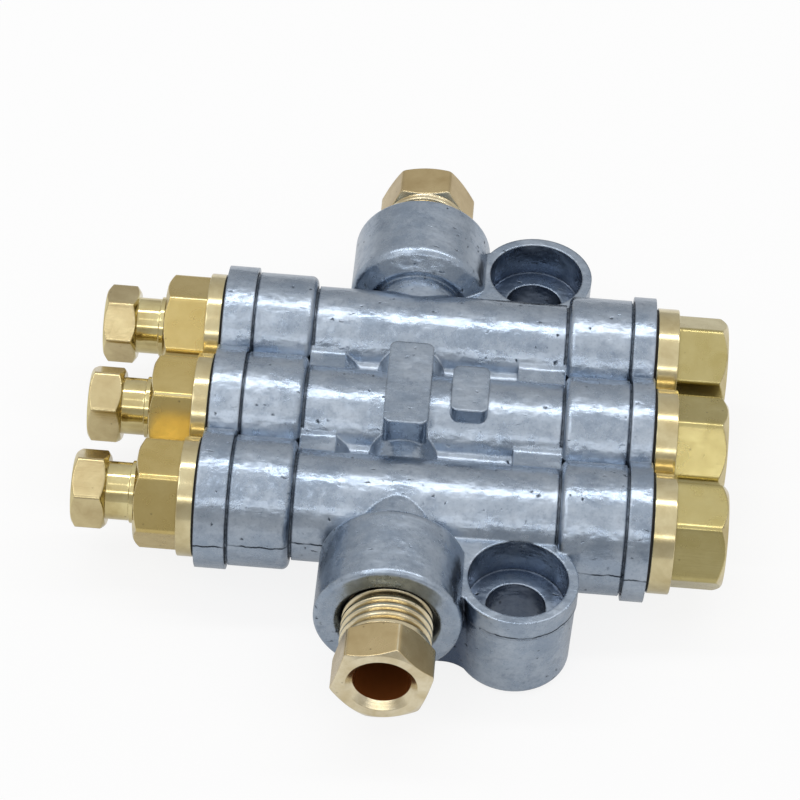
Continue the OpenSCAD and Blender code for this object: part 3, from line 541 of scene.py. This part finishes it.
# at a flange the section has one more point, which keeps the corner crisp, and the flats stop short
crispMm, shortMm = 0.03, 0.02

# brass outlet bodies: threaded shank, round flange, chamfered hexagon with the nut's thread inside
outletBody = {
    "acrossFlats": 11.0, "hexLength": 4.9, "flangeWidth": 1.8, "flangeRadius": 6.7,
    "chamfer": 0.55, "corner": {"rear": 42, "middle": 60, "front": 56},
    "shankRadius": 5.5, "pitch": 1.0, "threadDepth": 0.45,
    "nutThreadRadius": 3.85, "nutThreadDepth": 2.8, "socketRadius": 2.1, "socketDepth": 0.8,
    "coneRadius": 3.3, "passage": 1.0, "chamberRadius": 3.0, "chamberLength": 6.1,
    "face": 0.97, "lead": 0.35, "threadRelief": 0.6, "threadEnd": 0.3,
}


def makeOutletBody(name):
    size = outletBody
    low, high = boxOf("outlet_body_" + name)
    start, end = low[0], high[0]
    hexEnd = start + size["hexLength"]
    flangeEnd = hexEnd + size["flangeWidth"]
    half, corner = size["acrossFlats"] / 2, size["acrossFlats"] / math.sqrt(3)
    edgeRadius, face = wornCorner * corner, size["face"] * half
    cone = start + size["nutThreadDepth"]
    socket = cone + size["coneRadius"] - size["socketRadius"]
    chamber = end - size["chamberLength"]
    mouth = size["nutThreadRadius"]
    section = [
        (start, mouth + size["lead"]), (start, face), (start + size["chamfer"], edgeRadius),
        (hexEnd - crispMm, edgeRadius), (hexEnd, edgeRadius), (hexEnd, size["flangeRadius"]),
        (flangeEnd, size["flangeRadius"]), (flangeEnd, size["shankRadius"]),
        (end, size["shankRadius"]), (end, size["chamberRadius"]),
        (chamber, size["chamberRadius"]), (chamber, size["passage"]),
        (socket + size["socketDepth"], size["passage"]),
        (socket + size["socketDepth"], size["socketRadius"]), (socket, size["socketRadius"]),
        (cone, size["coneRadius"]), (cone, mouth), (start + size["lead"], mouth),
        (start, mouth + size["lead"])]
    centre = barrelAxis[name]
    return lathePiece(
        "outlet_body_shape_" + name, section, (0, centre[1], centre[2]), alongX, alongY, upZ,
        {"acrossFlats": size["acrossFlats"], "from": start, "to": hexEnd - shortMm,
         "corner": math.radians(size["corner"][name])},
        {"pitch": size["pitch"], "depth": size["threadDepth"], "radius": size["shankRadius"],
         "from": flangeEnd + size["threadRelief"], "to": end - size["threadEnd"]},
        bore=size["socketRadius"])


# brass tube nuts at the outlets: chamfered hexagon, plain neck, short thread, tube hole
outletNut = {
    "acrossFlats": 8.0, "hexLength": 3.8, "neckLength": 2.6, "neckRadius": 3.25, "chamfer": 0.5,
    "ringRadius": 3.5, "ringLength": 0.75,
    "threadRadius": 3.8, "pitch": 1.0, "threadDepth": 0.5, "holeRadius": 2.1, "lead": 0.6,
    "coneRadius": 3.1, "corner": {"rear": 46, "middle": 25, "front": 28},
    "face": 0.965, "tipLength": 0.2, "tipDepth": 0.3, "threadGap": 0.1, "worn": 0.1, "step": 0.12,
}


def makeOutletNut(name):
    size = outletNut
    low, high = boxOf("outlet_nut_" + name)
    start, end = low[0], high[0]
    hexEnd = start + size["hexLength"]
    neckEnd = hexEnd + size["neckLength"]
    ringEnd = neckEnd + size["ringLength"]
    half, corner = size["acrossFlats"] / 2, size["acrossFlats"] / math.sqrt(3)
    edgeRadius, face = wornCorner * corner, size["face"] * half
    hole = size["holeRadius"]
    section = [
        (start, hole + size["lead"]), (start, face), (start + size["chamfer"], edgeRadius),
        (hexEnd - size["chamfer"], edgeRadius), (hexEnd, face), (hexEnd, size["neckRadius"]),
        (neckEnd, size["neckRadius"]), (neckEnd, size["ringRadius"]),
        (ringEnd, size["ringRadius"]), (ringEnd, size["threadRadius"]),
        (end - size["tipLength"], size["threadRadius"]),
        (end, size["threadRadius"] - size["tipDepth"]), (end, size["coneRadius"]),
        (end - size["coneRadius"] + hole, hole), (start + size["lead"], hole),
        (start, hole + size["lead"])]
    centre = barrelAxis[name]
    return lathePiece(
        "outlet_nut_shape_" + name, section, (0, centre[1], centre[2]), alongX, alongY, upZ,
        {"acrossFlats": size["acrossFlats"], "from": start, "to": hexEnd,
         "corner": math.radians(size["corner"][name])},
        {"pitch": size["pitch"], "depth": size["threadDepth"], "radius": size["threadRadius"],
         "from": ringEnd + size["threadGap"], "to": end - size["threadGap"]},
        bore=hole, step=size["step"], worn=size["worn"])


# brass metering caps: chamfered hexagon, round flange, thread, grooved pilot, stepped blind bore
meteringCap = {
    "acrossFlats": 11.0, "hexLength": 5.8, "flangeWidth": 2.5, "flangeRadius": 6.7,
    "chamfer": 0.8, "corner": {"rear": 31, "middle": 46, "front": 5},
    "shankRadius": 5.5, "pitch": 1.0, "threadDepth": 0.45, "pilotRadius": 4.8,
    "threadFrom": 20.1, "ringAt": 12.0, "ringWidth": 1.1,
    "boreRadius": 3.03, "springRadius": 2.5, "springEnd": 27.2,
    "stop": {"rear": 15.068, "middle": 15.068, "front": 14.361},
    "face": 0.96, "ringSlack": 0.1, "threadGap": 0.2, "threadRelief": 0.4, "worn": 0.16,
}


def makeMeteringCap(name):
    size = meteringCap
    low, high = boxOf("metering_cap_" + name)
    start, end = low[0], high[0]
    hexStart = end - size["hexLength"]
    flangeStart = hexStart - size["flangeWidth"]
    mainLine = mainAxis[0]
    half, corner = size["acrossFlats"] / 2, size["acrossFlats"] / math.sqrt(3)
    edgeRadius, face = wornCorner * corner, size["face"] * half
    ringFrom = mainLine + size["ringAt"] - size["ringWidth"] / 2 - size["ringSlack"]
    ringTo = mainLine + size["ringAt"] + size["ringWidth"] / 2 + size["ringSlack"]
    groove = size["pilotRadius"] - size["ringWidth"]
    stop, springEnd = mainLine + size["stop"][name], mainLine + size["springEnd"]
    threadFrom = mainLine + size["threadFrom"]
    section = [
        (springEnd, 0), (springEnd, size["springRadius"]), (stop, size["springRadius"]),
        (stop, size["boreRadius"]), (start, size["boreRadius"]), (start, size["pilotRadius"]),
        (ringFrom, size["pilotRadius"]), (ringFrom, groove), (ringTo, groove),
        (ringTo, size["pilotRadius"]), (threadFrom, size["pilotRadius"]),
        (threadFrom, size["shankRadius"]), (flangeStart, size["shankRadius"]),
        (flangeStart, size["flangeRadius"]), (hexStart, size["flangeRadius"]),
        (hexStart, edgeRadius), (hexStart + crispMm, edgeRadius),
        (end - size["chamfer"], edgeRadius), (end, face), (end, 0)]
    centre = barrelAxis[name]
    return lathePiece(
        "metering_cap_shape_" + name, section, (0, centre[1], centre[2]), alongX, alongY, upZ,
        {"acrossFlats": size["acrossFlats"], "from": hexStart + shortMm, "to": end,
         "corner": math.radians(size["corner"][name])},
        {"pitch": size["pitch"], "depth": size["threadDepth"], "radius": size["shankRadius"],
         "from": threadFrom + size["threadGap"], "to": flangeStart - size["threadRelief"]},
        worn=size["worn"])


# brass tube nuts of the main line: long thread, chamfered hexagon, countersunk tube hole
mainNut = {
    "acrossFlats": 10.0, "hexLength": 4.8, "chamfer": 0.5, "threadRadius": 5.0, "pitch": 1.15,
    "threadDepth": 0.55, "holeRadius": 3.1, "lead": 0.8, "coneRadius": 4.2,
    "corner": {"rear": 4, "front": 15}, "face": 0.975, "tip": 0.4, "threadFrom": 0.3,
    "threadGap": 0.1, "undercut": 0.05, "undercutHalf": 0.02, "worn": 0.1, "step": 0.06,
}


def makeMainNut(name, side):
    size = mainNut
    low, high = boxOf("main_nut_" + name)
    tip = min(abs(low[1]), abs(high[1]))
    end = max(abs(low[1]), abs(high[1]))
    hexStart = end - size["hexLength"]
    half, corner = size["acrossFlats"] / 2, size["acrossFlats"] / math.sqrt(3)
    edgeRadius, face = wornCorner * corner, size["face"] * half
    hole = size["holeRadius"]
    section = [
        (tip, size["coneRadius"]), (tip, size["threadRadius"] - size["tip"]),
        (tip + size["tip"], size["threadRadius"]),
        (hexStart - size["undercutHalf"], size["threadRadius"]),
        (hexStart, size["threadRadius"] - size["undercut"]),
        (hexStart + size["undercutHalf"], face),
        (hexStart + size["chamfer"], edgeRadius), (end - size["chamfer"], edgeRadius), (end, face),
        (end, hole + size["lead"]), (end - size["lead"], hole),
        (tip + size["coneRadius"] - hole, hole), (tip, size["coneRadius"])]
    return lathePiece(
        "main_nut_shape_" + name, section, (mainAxis[0], 0, mainAxis[2]), (0, side, 0), alongX, upZ,
        {"acrossFlats": size["acrossFlats"], "from": hexStart + size["undercutHalf"] / 2, "to": end,
         "corner": math.radians(size["corner"][name])},
        {"pitch": size["pitch"], "depth": size["threadDepth"], "radius": size["threadRadius"],
         "from": tip + size["threadFrom"], "to": hexStart - size["threadGap"]},
        bore=hole, step=size["step"], worn=size["worn"])


for name in barrelNames:
    dress(makeOutletBody(name), "outlet_body_" + name, turnedBrass)
    dress(makeOutletNut(name), "outlet_nut_" + name, fittingBrass)
    dress(makeMeteringCap(name), "metering_cap_" + name, capBrass)
for name, side in (("rear", 1), ("front", -1)):
    dress(makeMainNut(name, side), "main_nut_" + name, mainNutBrass)
print("brass pieces made")


# the pieces that keep their own mesh
finishes = {
    "body_casting": zincSkin, "outlet_washer": fibreWasher, "cap_washer": fibreWasher,
    "outlet_ferrule": fittingBrass, "main_ferrule": fittingBrass, "check_seat": turnedBrass,
    "control_tube": turnedBrass, "check_disc": nitrileRubber, "transfer_seal": nitrileRubber,
    "piston_ring": nitrileRubber, "pilot_ring": nitrileRubber, "check_spring": springSteel,
    "piston_spring": springSteel, "metering_piston": groundSteel,
}
for nodeName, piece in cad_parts.items():
    for start, material in finishes.items():
        if nodeName.startswith(start):
            piece.data.materials.clear()
            piece.data.materials.append(material)
print("frame pieces finished")


def makeSpring(node, shape):
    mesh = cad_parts[node].data.copy()
    mesh.name = shape
    piece = addPiece(mesh)
    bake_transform(piece)
    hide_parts(node)


for name in barrelNames:
    makeSpring("piston_spring_" + name, "piston_spring_shape_" + name)
    makeSpring("check_spring_" + name, "check_spring_shape_" + name)
print("springs made")


# floor, light and camera

# The sky's brightness by the angle over the front horizon, in degrees round the barrels: the
# front softbox spans about 38 to 96, and the room behind is darker.
sky = [(-180, 0.45), (-90, 0.45), (0, 0.60), (30, 0.48), (39, 0.95), (94, 1.02), (112, 0.92),
       (138, 0.76), (180, 0.55)]
studio = {
    "floorSize": 3.0, "floorDrop": 0.00002, "floorShade": "#EEEEEE", "floorGlow": 0.86,
    "floorGlowInMetal": 0.40, "skyEnds": 0.75, "skyEndsFrom": (0.6, 0.95), "skyFill": 0.60,
    "aim": (-0.01, 0, 0.01),
    "strip": {"place": (-0.02, 0.15, 0.53), "size": (1.0, 0.055), "radiance": 7.5},
    "frontBand": {"place": (-0.02, -0.55, 0.47), "size": (1.2, 0.05), "radiance": 3.4},
    "key": {"place": (-0.35, -0.25, 0.75), "size": (0.35, 0.35), "radiance": 1.6},
}
view = {"target": (-14.763, 4.078, 9.5), "distance": 376.22, "azimuth": 1.651, "elevation": 44.497,
        "roll": 3.347, "fieldOfView": 13.963}


def makeFloor():
    half, drop = studio["floorSize"] / 2, -studio["floorDrop"]
    mesh = bpy.data.meshes.new("floor")
    mesh.from_pydata([(-half, -half, drop), (half, -half, drop), (half, half, drop),
                      (-half, half, drop)], [], [(0, 1, 2, 3)])
    floor = bpy.data.objects.new("floor", mesh)
    bpy.context.scene.collection.objects.link(floor)
    material = bpy.data.materials.new("pale_floor")
    material.use_nodes = True
    tree = material.node_tree
    tree.nodes.clear()
    fromCamera, inMetal = findRays(tree)
    share = addNode(tree, "Math", (
        addNode(tree, "Math", (fromCamera, studio["floorGlow"]), operation="MULTIPLY"),
        addNode(tree, "Math", (inMetal, studio["floorGlowInMetal"]), operation="MULTIPLY")),
        operation="MAXIMUM")
    matt = addNode(tree, "BsdfDiffuse", {"Color": hexToLinear(studio["floorShade"])})
    glow = addNode(tree, "Emission", {"Color": (1, 1, 1, 1), "Strength": 1.0})
    mixed = addNode(tree, "MixShader", (share, matt, glow))
    addNode(tree, "OutputMaterial", {"Surface": mixed}, None)
    mesh.materials.append(material)


def findRays(tree):
    # two switches: a ray from the camera, and one that metal or glass sends on
    path = addNode(tree, "LightPath", output=None)
    inMetal = addNode(tree, "Math", (path["Is Glossy Ray"], path["Is Transmission Ray"]),
                      operation="MAXIMUM")
    return path["Is Camera Ray"], inMetal


def makeSky():
    world = bpy.data.worlds.new("studio")
    bpy.context.scene.world = world
    world.use_nodes = True
    tree = world.node_tree
    tree.nodes.clear()
    fromCamera, inMetal = findRays(tree)
    parts = addNode(tree, "SeparateXYZ", {"Vector": addNode(tree, "TexCoord", output="Generated")},
                    None)
    toFront = addNode(tree, "Math", (parts["Y"], -1.0), operation="MULTIPLY")
    angle = addNode(tree, "Math", (parts["Z"], toFront), operation="ARCTAN2")
    share = addNode(tree, "MapRange", (angle, -math.pi, math.pi))
    level = addNode(tree, "ValToRGB", {"Fac": share}, stops=[
        ((degrees + 180) / 360, (value, value, value, 1.0)) for degrees, value in sky])
    # towards both ends of the barrels the level settles to one value
    ends = addNode(tree, "Math", (parts["X"],), operation="ABSOLUTE")
    ends = addNode(tree, "MapRange", (ends, *studio["skyEndsFrom"]))
    level = addNode(tree, "Mix", {0: ends, 2: level, 3: studio["skyEnds"]})
    strength = addNode(tree, "Mix", {0: inMetal, 2: studio["skyFill"], 3: level})
    strength = addNode(tree, "Math", (strength, fromCamera), operation="MAXIMUM")
    glow = addNode(tree, "Background", {"Color": (1, 1, 1, 1), "Strength": strength})
    addNode(tree, "OutputWorld", {"Surface": glow}, None)


def makeLamp(name):
    # a rectangle of even radiance: its watts are pi times radiance times area
    size = studio[name]
    width, height = size["size"]
    lamp = bpy.data.lights.new(name, "AREA")
    lamp.shape = "RECTANGLE"
    lamp.size, lamp.size_y = width, height
    lamp.energy = math.pi * size["radiance"] * width * height
    holder = bpy.data.objects.new(name, lamp)
    bpy.context.scene.collection.objects.link(holder)
    holder.location = size["place"]
    holder.rotation_euler = (Vector(studio["aim"]) - Vector(size["place"])).to_track_quat(
        "-Z", "Y").to_euler()


def makeCamera():
    azimuth, elevation = math.radians(view["azimuth"]), math.radians(view["elevation"])
    back = Vector((math.sin(azimuth) * math.cos(elevation),
                   -math.cos(azimuth) * math.cos(elevation), math.sin(elevation)))
    right = Vector((math.cos(azimuth), math.sin(azimuth), 0))
    upward = back.cross(right)
    roll = math.radians(view["roll"])
    turnedRight = right * math.cos(roll) + upward * math.sin(roll)
    turnedUp = upward * math.cos(roll) - right * math.sin(roll)
    place = (Vector(view["target"]) + back * view["distance"]) * mm
    lens = bpy.data.cameras.new("camera")
    lens.sensor_width = 36
    lens.angle = math.radians(view["fieldOfView"])
    lens.clip_start = 0.01
    camera = bpy.data.objects.new("camera", lens)
    bpy.context.scene.collection.objects.link(camera)
    turn = Matrix((turnedRight, turnedUp, back)).transposed().to_4x4()
    camera.matrix_world = Matrix.Translation(place) @ turn
    bpy.context.scene.camera = camera


makeFloor()
makeSky()
for lampName in ("strip", "frontBand", "key"):
    makeLamp(lampName)
makeCamera()
bpy.context.scene.view_settings.view_transform = "Standard"
print("studio made")
